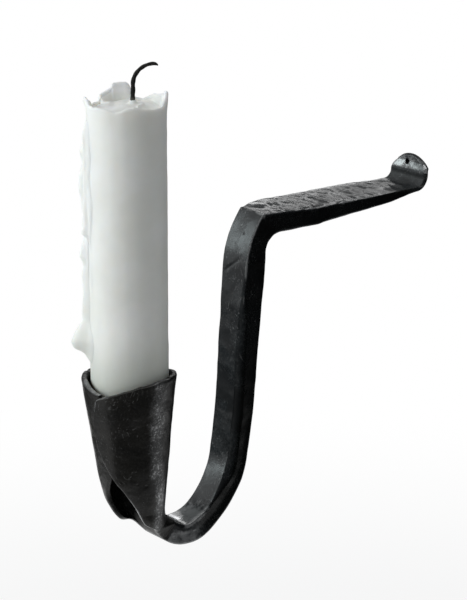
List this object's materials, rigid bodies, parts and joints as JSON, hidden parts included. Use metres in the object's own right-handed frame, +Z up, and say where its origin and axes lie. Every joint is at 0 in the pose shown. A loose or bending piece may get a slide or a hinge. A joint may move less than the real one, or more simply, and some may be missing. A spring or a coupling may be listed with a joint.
{
  "type": "wall candle holder",
  "caption": "Hand-forged iron wall candle holder: a flat bar with a rolled, lapped socket at one end and a nail ear at the other, holding a partly burnt pillar candle that lifts out.",
  "frame": {"origin": "centre of the nail hole at the back face of the wall ear, on the plane of the wall", "axes": "+Z up along the candle's axis, +Y into the wall, -Y away from the wall towards the candle, X across the bar with X = 0 in the bar's middle plane"},
  "size_m": [0.0262, 0.1187, 0.1399],
  "materials": {
    "iron": "black forge scale, hammered, worn bright on the edges",
    "wax": "pale wax, satin, slightly translucent",
    "wick": "charred cotton"
  },
  "bodies": {
    "holder": {"socket": "iron", "stem": "iron", "arm": "iron", "wall_ear": "iron"},
    "candle": {"candle": "wax", "wick": "wick", "wax_runs": "wax"}
  },
  "joints": [
    {"name": "candle_lift", "type": "slide", "parent": "holder", "child": "candle", "axis": [0, 0, 1], "range_m": [0, 0.04]}
  ]
}
